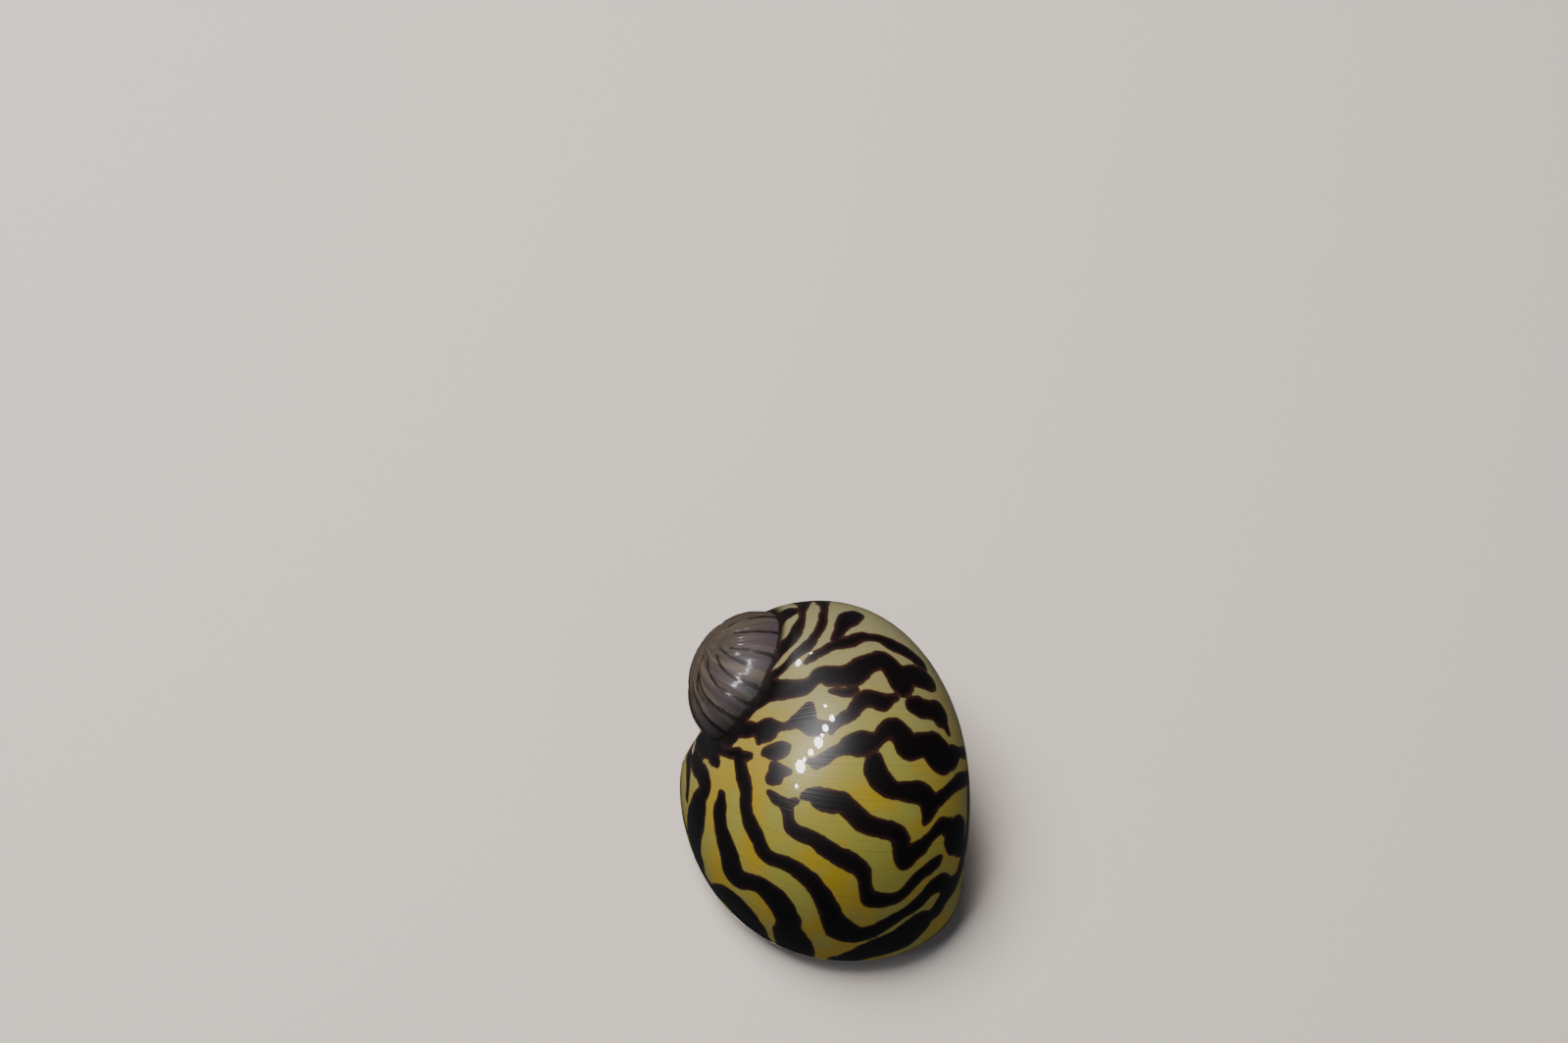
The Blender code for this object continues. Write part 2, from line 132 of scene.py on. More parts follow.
def skinOver(name, rows):
    # A closed skin over rows of equal length, with a fan at each end.
    count = len(rows[0])
    points = np.vstack(rows + [rows[0].mean(0)[None], rows[-1].mean(0)[None]])
    first, last = len(points) - 2, len(points) - 1
    side = np.arange(count)
    after = (side + 1) % count
    faces = []
    for row in range(len(rows) - 1):
        low, high = row * count, (row + 1) * count
        faces += np.stack((low + side, low + after, high + after, high + side), 1).tolist()
    end = (len(rows) - 1) * count
    faces += [(first, b, a) for a, b in zip(side.tolist(), after.tolist())]
    faces += [(last, end + a, end + b) for a, b in zip(side.tolist(), after.tolist())]
    piece = makeObject(name, points, faces)
    shape = bmesh.new()
    shape.from_mesh(piece.data)
    if shape.calc_volume(signed=True) < 0:
        bmesh.ops.reverse_faces(shape, faces=shape.faces[:])
    shape.to_mesh(piece.data)
    shape.free()
    piece.data.shade_smooth()
    return piece


def addNode(tree, kind, settings=None, inputs=None):
    # One node: its properties, and its inputs as values, hex colours or the outputs of other nodes.
    node = tree.nodes.new(kind)
    for name, value in (settings or {}).items():
        setattr(node, name, value)
    for name, value in (inputs or {}).items():
        if isinstance(value, bpy.types.NodeSocket):
            tree.links.new(value, node.inputs[name])
        elif isinstance(value, str):
            node.inputs[name].default_value = linear(value)
        else:
            node.inputs[name].default_value = value
    return node


def startMaterial(name, blotches=()):
    # A new material with its place in the object, and noises keyed by the size of their blotches in mm.
    made = bpy.data.materials.new(name)
    made.use_nodes = True
    tree = made.node_tree
    place = addNode(tree, "ShaderNodeTexCoord").outputs["Object"]
    noises = {}
    for size, detail in blotches:
        noises[size] = addNode(tree, "ShaderNodeTexNoise", None,
                               {"Vector": place, "Scale": 1000 / size, "Detail": detail}).outputs["Fac"]
    return made, tree, tree.nodes["Principled BSDF"], place, noises


def paintOver(tree, colour, coats):
    # Lays each coat's colour over the one below, from none at the first value to all at the second.
    for value, none, full, coat in coats:
        share = addNode(tree, "ShaderNodeMapRange", {"interpolation_type": "SMOOTHSTEP"},
                        {"Value": value, "From Min": none, "From Max": full}).outputs["Result"]
        colour = addNode(tree, "ShaderNodeMix", {"data_type": "RGBA"},
                         {0: share, 6: colour, 7: coat}).outputs[2]
    return colour


def finishShader(tree, shader, colour, height, bump, surface):
    # Colour, relief (strength and depth in mm) and the fixed values of the surface.
    relief = addNode(tree, "ShaderNodeBump", None,
                     {"Strength": bump[0], "Distance": bump[1] * 0.001, "Height": height}).outputs["Normal"]
    tree.links.new(relief, shader.inputs["Normal"])
    if colour:
        tree.links.new(colour, shader.inputs["Base Color"])
    for name, value in surface.items():
        shader.inputs[name].default_value = value


def deselect():
    bpy.ops.object.select_all(action="DESELECT")


def useOnly(piece):
    deselect()
    piece.select_set(True)
    bpy.context.view_layer.objects.active = piece


# Camera, floor and light

view = {
    "pitch": 64,                   # degrees below level
    "look": (0.05, -1.47, 1.7),    # mm, the point seen at the picture point below
    "seenAt": (839.0, 833.6),
    "middle": (800, 532),          # of the photograph, in its own pixels
    "width": 1600,
    "distance": 0.146,
    "focal": 50,
    "sensor": 36,
}

pitch = math.radians(view["pitch"])
forward = Vector((0, math.cos(pitch), -math.sin(pitch)))
above = Vector((0, math.sin(pitch), math.cos(pitch)))
pixels = view["focal"] / view["sensor"] * view["width"]


def pictureRay(x, y):
    # From the camera through a point of the photograph, one unit deep.
    right = Vector((1, 0, 0))
    return forward + right * ((x - view["middle"][0]) / pixels) - above * ((y - view["middle"][1]) / pixels)


deselect()
station = Vector(view["look"]) * 0.001 - pictureRay(*view["seenAt"]) * view["distance"]
bpy.ops.object.camera_add(location=station, rotation=(math.radians(90 - view["pitch"]), 0, 0))
camera = bpy.context.object
camera.data.lens = view["focal"]
camera.data.sensor_width = view["sensor"]
camera.data.clip_start = 0.002
bpy.context.scene.camera = camera

studio = {
    "floor": "#bdb7b2",
    "world": "#c9d0d6",
    "worldStrength": 0.08,
    "grain": 1.1,                  # mm
    "sparkleHeight": 0.25,         # m above the floor, of the lamps behind the glints
    "aim": (0, 0, 0.008),
}

deselect()
bpy.ops.mesh.primitive_plane_add(size=1.2, location=(0, 0, 0))
floor = bpy.context.object
floor.name = "floor"
floor.visible_glossy = False   # the pale floor would grey the wet glaze
# Matt painted board: an even, pale, soft surface.
made, tree, shader, place, noises = startMaterial("matt painted board", ((studio["grain"], 3.0),))
finishShader(tree, shader, None, noises[studio["grain"]], (0.08, 0.2),
             {"Base Color": linear(studio["floor"]), "Roughness": 0.75})
floor.data.materials.append(made)

world = bpy.data.worlds.new("studio")
bpy.context.scene.world = world
world.use_nodes = True
world.node_tree.nodes["Background"].inputs["Color"].default_value = linear(studio["world"])
world.node_tree.nodes["Background"].inputs["Strength"].default_value = studio["worldStrength"]

lamps = {
    "softKey": {"at": (-0.13, 0.13, 0.36), "size": (0.26, 0.20), "power": 3.8, "colour": "#fff7ee"},
    "fill": {"at": (0.26, -0.20, 0.22), "size": (0.25, 0.25), "power": 0.15, "colour": "#e6eeff"},
}


def addLamp(name, at, size, power, colour):
    aim = (Vector(studio["aim"]) - Vector(at)).to_track_quat("-Z", "Y").to_euler()
    deselect()
    bpy.ops.object.light_add(type="AREA", location=at, rotation=aim)
    lamp = bpy.context.object
    lamp.name = name
    lamp.data.shape = "RECTANGLE"
    lamp.data.size, lamp.data.size_y = size
    lamp.data.energy = power
    lamp.data.color = linear(colour)[:3]
    return lamp


for name, lamp in lamps.items():
    made = addLamp(name, lamp["at"], lamp["size"], lamp["power"], lamp["colour"])
    made.visible_glossy = False
print("camera, floor and light")


# Shell

shell = {
    "sides": 288,
    "bodyFrom": -385,              # growth angles, in steps of so many degrees
    "bodyStep": 1.5,
    "fineFrom": -180,
    "fineStep": 1.0,
    "olderLift": 0.15,             # least height above the lip's plane, of the older turns and of the lip
    "lipLift": 0.3,
    "rim": ((0.0, 1.0), (0.03, 0.6), (0.1, 0.25), (0.25, 0.05), (0.4, 0.0)),   # inset, share of the height
    "inside": ((0.7, 0.02), (0.95, 0.15), (1.15, 0.5), (1.4, 1.1), (1.9, 1.9), (2.7, 2.7), (4.0, 3.3)),
    "edge": 0.0,                   # of the opening, across the lip's oval
    "outerLift": (190, 0.12),      # the inside of the outer lip stands this much higher
    "padEdge": 0.8,
    "padSides": 144,
    "pad": ((0.12, 0.3), (0.8, 0.45), (1.6, 0.8), (2.4, 1.6), (3.0, 3.2)),   # height above the lip, inset
    "outside": "#807f3a",
    "warm": "#8f7c1e",
    "cool": "#6f6d50",
    "stripe": "#090506",
    "stripeEdge": "#2b1613",
    "growthLine": "#5f5a2a",
    # painted shade: the dark colour laid into the crease beside the spire
    "paintedCreaseShade": "#120b08",
    "waver": ((0.6, 0.24), (1.6, 0.25)),   # of the stripes' edges: blotch size and reach, mm
    "glaze": {"Roughness": 0.38, "Specular IOR Level": 0.2, "Coat Weight": 0.55, "Coat Roughness": 0.03,
              "Coat IOR": 1.33},
}

porcelain = {
    "cream": "#d8d0b4",
    "stain": "#b3a878",
    "milk": "#e6e0cc",
    "glaze": {"Roughness": 0.28, "Coat Weight": 0.6, "Coat Roughness": 0.08},
}

dome = {
    "radius": 4.4,
    "rise": 3.9,
    "shoulder": (-0.6, -0.72, -0.35),    # the side that runs on into the older turn
    "swell": 0.45,
    "bend": (9, 2),                # folds lean over by so many degrees for each mm beyond this distance
    "folds": ((0.02, 23, 0), (0.012, 41, 1), (0.008, 67, -2)),    # depth in mm, number, lag for each mm
    "trace": (1.1, 0.3, 0.08),     # of an older turn: first distance from the axis, width and depth
    "lineSteps": 40,
    "lineWidth": (0.02, 0.016),    # half width at the axis, and what each mm away from it adds
    "top": (-7.66, 7.33, 10.75),
    "brown": "#38312b",
    "mauve": "#3b323a",
    "slate": "#2c3133",
    "line": "#120d0b",
    "pale": "#4d443c",
    "film": {"Roughness": 0.6, "Specular IOR Level": 0.2, "Coat Weight": 0.15, "Coat Roughness": 0.15},
}


def makeBody():
    angles = np.arange(shell["sides"]) * 360 / shell["sides"]
    curve = lipCurve(angles)
    turns = list(np.arange(shell["bodyFrom"], shell["fineFrom"], shell["bodyStep"]))
    turns += list(np.arange(shell["fineFrom"], 0, shell["fineStep"]))
    rows = []
    for turn in turns:
        row = grown(curve, turn)
        row[:, 2] = np.maximum(row[:, 2], lip["height"] + shell["olderLift"])
        rows.append(row)
    curve[:, 2] = np.maximum(curve[:, 2], lip["height"] + shell["lipLift"])
    middle = curve.mean(0)
    for inset, share in shell["rim"]:
        row = middle + (curve - middle) * (1 - inset / lip["halfWidth"])
        row[:, 2] = lip["height"] + (curve[:, 2] - lip["height"]) * share
        rows.append(row)
        turns.append(0)
    outerFaces = (len(rows) - 1) * shell["sides"]
    for inset, lift in shell["inside"]:
        row = levelLip(angles, inset, lip["height"] + lift)
        along, across = lipPlan(row)
        across = np.minimum(across, shell["edge"] - lift)
        outer, rise = shell["outerLift"]
        rows.append(lipToWorld(along, across, row[:, 2] + np.where(angles < outer, rise, 0)))
        turns.append(0)
    piece = skinOver("striped_shell", rows)
    # Each point remembers its growth angle and its angle round the tube.
    around = np.tile(angles, len(turns))
    along = np.repeat(np.array(turns, float), len(angles))
    along = np.append(along, (along[0], along[-1]))
    around = np.append(around, (around[0], around[-1]))
    return piece, along, around, outerFaces


def keepValues(piece, name, values):
    layer = piece.data.attributes.new(name, "FLOAT", "POINT")
    layer.data.foreach_set("value", np.asarray(values, np.float32))


def pointsOf(piece, kind="co"):
    values = np.zeros(len(piece.data.vertices) * 3, np.float32)
    piece.data.vertices.foreach_get(kind, values)
    return values.reshape(-1, 3).astype(float)


# Dark stripes, each read off the photograph: picture x and y, and half its width there in pixels.
stripes = {
    "leftEdge": (
        (703, 768, 1.5), (702.5, 785, 1.8), (702, 800, 2), (701, 812, 2),
    ),
    "firstFromLeft": (
        (706.5, 762, 2), (708.3, 773, 2.7), (712, 782, 3.3),
        (716.7, 791, 4), (719.8, 802, 4.7), (715.5, 812, 4.4), (713.3, 820, 6), (710.8, 831, 6.8),
        (708, 842, 7), (707.4, 853, 7), (708, 862, 6.5), (710.5, 870, 6), (713, 880, 4.7),
        (715.5, 890, 3.2), (720, 900, 2.6), (724, 906, 2.6), (731, 910, 3.5), (741, 916, 6.5),
        (752, 926, 9), (761, 938, 9), (768, 948, 7.5), (774, 957, 6), (782, 966, 5), (790, 973, 4),
    ),
    "shortLine": (
        (713, 752, 2.5), (716.5, 760, 3.5), (722, 768, 3.8), (728, 773, 3.8),
        (733, 780, 2.3),
    ),
    "second": (
        (722, 746, 5), (729, 755, 5), (735, 764, 5), (744, 768, 5), (753, 769, 5.5),
        (755, 780, 4.7), (757, 790, 6.2), (760, 800, 6.8), (762, 810, 5.5), (761.5, 820, 6),
        (762.5, 831, 6), (766, 840, 7), (770.5, 850, 7), (774.5, 859, 6.5), (779, 869, 6.5),
        (788, 876, 6), (800, 880, 6), (810, 885, 7), (820, 893, 8), (829, 901, 8), (836.5, 910, 8.5),
        (842, 920, 9.5), (847, 931, 10), (852, 942, 11), (860, 950, 10.5), (870, 954, 8),
        (880, 953, 6.5), (890, 950, 6), (900, 945, 5.5), (910, 939.5, 5), (920, 933, 4.5),
        (930, 926.5, 4.5), (940, 918, 4.5), (947, 910, 5), (955, 903, 6.5), (963, 901, 8), (969, 908, 8),
    ),
    "secondSpur": (
        (753, 769, 5), (760, 771, 4.6), (766, 771, 2.5),
    ),
    "third": (
        (736, 812, 4), (735.5, 820, 5), (734, 831, 6), (734.7, 840, 6), (737, 850, 6.5), (740, 860, 7.5),
        (743, 870, 8), (745.5, 880, 8), (748, 890, 8.5), (754, 896, 7), (762, 899, 6.5), (771, 902, 7),
        (780, 907, 8.5), (788, 914, 9.5), (795, 922, 10), (800, 931, 10), (804.5, 941, 10),
        (806, 951, 11.5), (809, 961, 12), (812, 970, 11),
    ),
    "frontRim": (
        (828, 982, 4), (845, 981, 3.5), (860, 979, 4), (870, 976, 5), (880, 973, 6), (890, 969, 8),
        (900, 966, 9), (910, 962, 9.5), (920, 957, 10), (930, 949, 10), (938, 941, 8), (941, 936, 3),
    ),
    "fourth": (
        (785, 809, 2.5), (792, 815, 5), (800, 820, 5.5), (804, 828, 5.5), (805, 836, 5), (808, 845, 6.5),
        (817, 851, 7), (830, 856, 7.5), (840, 864, 8), (850, 870, 8.5), (860, 875.5, 9), (870, 881.5, 9),
        (879, 888, 8), (883, 898, 6), (884, 908, 6.5), (888, 917, 8), (900, 919, 6.5), (910, 918, 5),
        (920, 913, 4.5), (928, 905, 4.5), (934, 898, 4.5), (940, 892, 5), (947, 887, 5), (953, 882, 5),
        (959, 876, 2.5),
    ),
    "fourthSpur": (
        (800, 820, 4), (807, 819, 4), (812, 817, 2.5),
    ),
    "fifth": (
        (822, 812, 4), (830, 811, 7), (840, 816, 11), (850, 817.5, 11.5), (860, 819, 10), (870, 829, 10),
        (880, 838, 10), (890, 843, 9.5), (900, 845.5, 9), (910, 848, 9.5), (918, 853, 9.5),
        (920, 862, 8.5), (921, 872, 8.5), (923, 880, 7.5), (929, 876, 6), (934, 869, 7.5),
        (940, 864.5, 6.5), (946, 858, 5), (951, 852.5, 4), (956, 846, 5), (962, 842, 7), (969, 845, 9),
        (975, 849, 9), (976, 857, 8), (981, 866, 4),
    ),
    "sixth": (
        (893, 777, 9), (894, 786, 11.5), (900, 797, 12), (910, 805, 10.5), (920, 807, 9.5),
        (930, 808, 10.5), (940, 809, 10.5), (947, 815, 9), (949, 822, 8), (947, 831, 5.5),
        (943.5, 839, 2.5),
    ),
    "sixthFork": (
        (949, 818, 7), (957, 816, 6), (965, 809, 5), (973, 802, 5), (981, 796, 5), (987, 793, 4),
    ),
    "seventh": (
        (826, 777, 3), (832, 779, 5), (840, 775, 6), (850, 768.5, 6), (860, 763.5, 6), (870, 759.5, 11),
        (880, 759, 12), (890, 757, 8.5), (898, 752, 7), (906, 744, 9.5), (914, 743, 10.5),
        (921, 752, 11), (929, 762, 13), (940, 760, 12.5), (950, 762, 12.5), (958, 769, 13),
        (966, 775, 11), (976, 768, 6), (984, 768, 4),
    ),
    "rightBlock": (
        (932, 720, 7.5), (940, 722, 9), (950, 724.5, 7.5), (958, 728, 7.5), (964, 738, 3),
        (968, 748, 1.5),
    ),
    "broadBand": (
        (774, 708, 11), (784, 705, 10), (795, 704, 9), (812, 703, 9), (822, 700, 8), (830, 694, 6),
        (838, 688, 8), (848, 689.5, 10.5), (858, 689.5, 10.5), (870, 688, 12), (880, 681, 11),
        (890, 676, 9), (900, 674, 9), (908, 679, 8.5), (915, 688, 10), (920, 697, 10), (921, 706, 4),
    ),
    "broadBandEnd": (
        (920, 690, 9), (928, 688, 8), (936, 690, 8), (944, 693, 7), (950, 697, 4),
    ),
    "lowerBand": (
        (740.5, 743, 7), (750, 741, 11), (760, 744, 8), (770, 744, 7), (780, 745, 12),
        (788, 742, 8), (797, 741.5, 4), (806, 739.5, 4), (813, 736, 6), (821, 733, 10), (825, 724, 6.5),
        (827, 720, 4),
    ),
    "lowerBandLobe": (
        (824, 738, 10), (828, 743, 7.5), (836, 742, 6.5), (845, 741, 4.5),
    ),
    "lowerBandTail": (
        (776, 752, 5), (774, 758, 2),
    ),
    "alongSuture": (
        (783, 684, 2), (779, 694, 3), (776, 705, 4.5), (769, 717, 5.5), (760, 728, 5), (750, 738, 3.5),
    ),
    "chain": (
        (848, 746, 3), (853, 738, 5), (860, 733, 6), (868, 729, 5.5), (875, 720, 6), (882, 713, 8),
        (892, 713, 8), (900, 716, 9), (907, 714, 6), (914, 711, 3),
    ),
    "fleck": (
        (848, 705, 2.5), (858, 706, 4.5), (866, 706, 4), (873, 703, 3),
    ),
    "ovalSpot": (
        (780, 768, 3.5), (787, 767, 7), (797, 765, 8), (803, 762, 4),
    ),
    "spot": (
        (790, 783, 5), (793, 787, 8), (800, 787, 5), (806, 787, 2),
    ),
    "spotFoot": (
        (793, 787, 7), (788, 794, 6), (794, 795, 5),
    ),
    "besideSpire": (
        (808, 624, 3), (801, 627, 5), (796, 634, 4), (792, 642, 4), (790, 650, 4), (788, 660, 3.5),
        (786, 668, 3), (784, 676, 3),
    ),
    "besideSpireTwo": (
        (820, 614, 4.5), (819, 624, 3.5), (818, 632, 3), (814, 640, 4.5), (808.5, 650, 5),
        (800, 659, 5.5), (794, 665, 5.5), (788, 673, 5), (784, 681, 3.5),
    ),
    "besideSpireThree": (
        (840, 613, 5), (841, 620, 4), (840, 628, 3.5), (838, 638, 4), (833, 647, 4), (827, 656, 4.5),
        (820, 662, 4.5), (812, 668, 4), (805, 675, 3), (797, 683, 3), (788, 690, 3.5), (780, 697, 5),
    ),
    "highBand": (
        (823, 675, 2.5), (830, 670, 3.5), (840, 664, 4), (850, 659, 4.5), (860, 656, 6), (870, 653, 5.5),
        (880, 649.5, 4.5), (890, 650.5, 3.5), (900, 652.5, 4), (910, 657.5, 5), (920, 662.5, 4.5),
        (930, 668.5, 4), (940, 677, 3),
    ),
    "backBlob": (
        (873, 627, 4), (867, 631, 7), (861, 637, 6), (857, 644, 5), (853, 652, 4.5),
    ),
    "rightRim": (
        (988, 796, 2), (988, 810, 1.5), (988, 830, 1.5), (986.5, 850, 2), (984, 868, 2.5), (981, 882, 3),
        (977, 895, 3.5), (970, 906, 5), (962, 918, 4.5), (955, 930, 4.5),
    ),
}

paint = {
    "perPoint": 5,                 # strokes are laid in steps this much finer than their points
    "gap": 0.25,                   # mm, widest step on the shell
    "spread": 0.07,                # mm that the pigment runs past the stripe that was read
    "slant": (1.5, 2.6),           # usual and greatest widening where the shell turns away
    "near": 0.004,                 # m, farther hits lie behind the shell's edge
}

# Bright glints of the photograph: picture point, and size and power of the lamp that makes it.
glints = (
    (817, 783, 0.039, 0.83),
    (822, 775, 0.012, 0.10),
    (826, 768, 0.019, 0.24),
    (834, 758, 0.029, 0.48),
    (839, 749, 0.010, 0.08),
    (843, 742, 0.019, 0.24),
    (849, 732, 0.017, 0.18),
    (842, 720, 0.010, 0.07),
    (813, 803, 0.016, 0.13),
    (815, 676, 0.039, 0.64),
    (827, 667, 0.013, 0.10),
)


def smoothPath(knots, count):
    knots = np.array(knots, float)
    padded = np.vstack((2 * knots[0] - knots[1], knots, 2 * knots[-1] - knots[-2]))
    points = []
    for place in np.linspace(0, len(knots) - 1, count):
        start = min(int(place), len(knots) - 2)
        t = place - start
        a, b, c, d = padded[start:start + 4]
        points.append(0.5 * (2 * b + (c - a) * t + (2 * a - 5 * b + 4 * c - d) * t ** 2
                             + (3 * b - a - 3 * c + d) * t ** 3))
    return np.array(points)


def onShell(x, y):
    # The point of the shell, and its face, that shows at a point of the photograph.
    hit = shellTree.ray_cast(camera.location, pictureRay(x, y).normalized())
    return hit[0], hit[2]


def strokePoints(stripe):
    # Points on the shell along one stripe, close together, in mm with the half width of each.
    found = []
    steps = smoothPath(stripe, (len(stripe) - 1) * paint["perPoint"] + 1)
    for i, (x, y, wide) in enumerate(steps):
        middle = onShell(x, y)[0]
        if middle is None:
            continue
        ahead = steps[min(i + 1, len(steps) - 1)] - steps[max(i - 1, 0)]
        across = np.array((-ahead[1], ahead[0])) / max(math.hypot(ahead[0], ahead[1]), 0.001)
        level = wide * (middle - camera.location).length / pixels
        reaches = []
        for side in (1, -1):
            for share in (1, 0.5):
                rim = onShell(*(np.array((x, y)) + side * share * wide * across))[0]
                if rim is not None and (rim - middle).length < paint["near"]:
                    reaches.append((rim - middle).length / share)
                    break
        usual, most = paint["slant"]
        half = sum(reaches) / len(reaches) if reaches else level * usual
        found.append(np.array((*(middle * 1000), paint["spread"] + 1000 * min(half, level * most))))
    # Steps that lie far apart on a steep side are filled in.
    filled = found[-1:]
    for a, b in zip(found[:-1], found[1:]):
        count = math.ceil(np.linalg.norm((b - a)[:3]) / paint["gap"]) + 1
        filled += [a + (b - a) * number / count for number in range(count)]
    return filled


def distanceToStrokes(points, samples):
    # Negative inside a stroke, in mm.
    samples = np.array(samples)
    nearest = np.empty(len(points))
    for start in range(0, len(points), 4000):
        part = points[start:start + 4000]
        square = (part ** 2).sum(1)[:, None] + (samples[:, :3] ** 2).sum(1) - 2 * part @ samples[:, :3].T
        nearest[start:start + 4000] = (np.sqrt(np.maximum(square, 0)) - samples[:, 3]).min(1)
    return nearest


hidden = {
    "period": 15,                  # degrees of growth from stripe to stripe
    "kink": (46, 9),               # degrees round the tube from kink to kink, and its reach along the growth
    "waver": ((2.2, 5, 3), (1.6, 11, -7)),     # reach, waves along and around
    "gap": 0.21,
    "gapWaver": ((0.05, 3, 5), (0.03, 0, 13)),
    "fade": (0.08, 0.4, 4),        # facing where they start to thin out, over how much, and mm taken off
}


def zebra(points, along, around):
    # The same kind of wavering stripes for the sides that the photograph doesn't show, in mm.
    away = points - np.array(growth["pole"])
    axis = np.array(turnAxis())
    perDegree = np.linalg.norm(away - np.outer(away @ axis, axis), axis=1) * math.pi / 180
    every, reach = hidden["kink"]
    phase = along + np.abs((around / every) % 2 - 1) * reach
    for reach, alongWaves, aroundWaves in hidden["waver"]:
        phase = phase + reach * np.sin(np.radians(along * alongWaves + around * aroundWaves))
    gap = hidden["gap"]
    for reach, alongWaves, aroundWaves in hidden["gapWaver"]:
        gap = gap + reach * np.sin(np.radians(along * alongWaves + around * aroundWaves))
    return (np.abs((phase / hidden["period"]) % 1 - 0.5) - gap) * hidden["period"] * perDegree


body, bodyAlong, bodyAround, outerFaces = makeBody()
bodyPoints = pointsOf(body) * 1000
toCamera = np.array(camera.location) * 1000 - bodyPoints
toCamera /= np.linalg.norm(toCamera, axis=1)[:, None]
facing = (pointsOf(body, "normal") * toCamera).sum(1)
corners = [vertex.co.copy() for vertex in body.data.vertices]
shellTree = BVHTree.FromPolygons(corners, [tuple(face.vertices) for face in body.data.polygons])
samples = [sample for stripe in stripes.values() for sample in strokePoints(stripe)]
painted = distanceToStrokes(bodyPoints, samples)
start, spread, depth = hidden["fade"]
unseen = zebra(bodyPoints, bodyAlong, bodyAround) + depth * np.clip((facing - start) / spread, 0, 1)
keepValues(body, "pigment", np.minimum(painted, unseen))
keepValues(body, "growthAngle", bodyAlong)

# Each glint's lamp hangs where the line of sight goes on after the glaze has turned it back.
for number, (x, y, size, power) in enumerate(glints):
    place, face = onShell(x, y)
    around = [body.data.vertices[i].normal for i in body.data.polygons[face].vertices]
    normal = sum(around, Vector()).normalized()
    onwards = pictureRay(x, y).normalized().reflect(normal)
    at = place + onwards * (studio["sparkleHeight"] - place.z) / onwards.z
    made = addLamp(f"sparkle{number}", at, (size, size), power, "#ffffff")
    made.data.shape = "ELLIPSE"
    made.visible_diffuse = False

coilAxis = Vector(turnAxis())
deselect()
bpy.ops.mesh.primitive_uv_sphere_add(segments=192, ring_count=128, radius=1, location=(0, 0, 0))
spire = bpy.context.object
spire.name = "worn_spire"
lean = coilAxis.to_track_quat("Z", "Y")
spire.scale = Vector((dome["radius"], dome["radius"], dome["rise"])) * 0.001
spire.rotation_euler = lean.to_euler()
spire.location = (Vector(dome["top"]) - coilAxis * dome["rise"]) * 0.001
bpy.ops.object.transform_apply(location=True, rotation=True, scale=True)
bpy.ops.object.shade_smooth()

# How far each point of the body stands from the spire, used to paint shade dark into the crease between
# them.
local = (bodyPoints - np.array(dome["top"])) @ np.array(lean.to_matrix())
local[:, 2] += dome["rise"]
squeeze = local / np.array((dome["radius"], dome["radius"], dome["rise"]))
keepValues(body, "paintedCreaseShade", (np.linalg.norm(squeeze, axis=1) - 1) * dome["radius"])

# Thin brown lines that fan out over the spire: first and last angle about its axis, first and last distance
# from the axis in mm, and how many degrees the line bows back between them.
spireLines = (
    (79, 77, 1.9, 3.8, 4), (85, 95, 2.7, 4.3, -2.5), (64, 67, 2.1, 4.5, 8), (44, 53, 1.5, 4.7, 9),
    (12, 34, 2.0, 4.6, 1), (-6, 12, 2.6, 4.5, 0), (24, 4, 1.0, 3.0, 8), (-30, -12, 2.2, 4.4, 0),
    (-55, -36, 1.8, 4.4, 0), (-80, -60, 2.3, 4.5, 0), (112, 120, 2.4, 4.3, 0), (138, 147, 2.0, 4.4, 0),
    (165, 176, 2.2, 4.4, 0), (193, 204, 1.9, 4.4, 0), (220, 232, 2.3, 4.4, 0), (250, 262, 2.1, 4.4, 0),
)
spirePoints = (pointsOf(spire) * 1000 - np.array(dome["top"])) @ np.array(lean.to_matrix())
spireReach = np.hypot(spirePoints[:, 0], spirePoints[:, 1])
spireAngle = np.degrees(np.arctan2(spirePoints[:, 1], spirePoints[:, 0]))
samples = []
thin, widening = dome["lineWidth"]
for firstAngle, lastAngle, near, far, bow in spireLines:
    for share in np.linspace(0, 1, dome["lineSteps"]):
        angle = firstAngle + (lastAngle - firstAngle) * share ** 2 - 4 * bow * share * (1 - share)
        angle = math.radians(angle)
        reach = near + (far - near) * share
        samples.append((reach * math.cos(angle), reach * math.sin(angle), 0, thin + widening * reach))
flat = spirePoints * (1, 1, 0)
flat[spirePoints[:, 2] < -dome["rise"]] = 99   # only the upper half is painted
keepValues(spire, "pigment", distanceToStrokes(flat, samples))
turn, start = dome["bend"]
bend = np.radians(spireAngle - turn * np.maximum(spireReach - start, 0))
# Worn relief: low folds that run out from the tip, and the trace of an older turn.
relief = 0
for depth, count, lag in dome["folds"]:
    relief = relief + depth * np.sin(bend * count + lag * spireReach)
start, wide, depth = dome["trace"]
older = spireReach - start * growth["perTurn"] ** ((np.degrees(bend) % 360) / 360)
relief = relief * np.clip(spireReach / 3, 0, 1) - depth * np.exp(-(older / wide) ** 2)
outward = pointsOf(spire, "normal")
shoulder = np.clip(outward @ np.array(dome["shoulder"]), 0, 1)
relief += dome["swell"] * shoulder ** 4
worn = pointsOf(spire) + outward * relief[:, None] * 0.001
spire.data.vertices.foreach_set("co", worn.astype(np.float32).ravel())
spire.data.update()
layer = spire.data.attributes.new("fan", "FLOAT_VECTOR", "POINT")
fan = np.stack((np.cos(bend), np.sin(bend), spireReach * 0.02), 1)
layer.data.foreach_set("vector", fan.astype(np.float32).ravel())

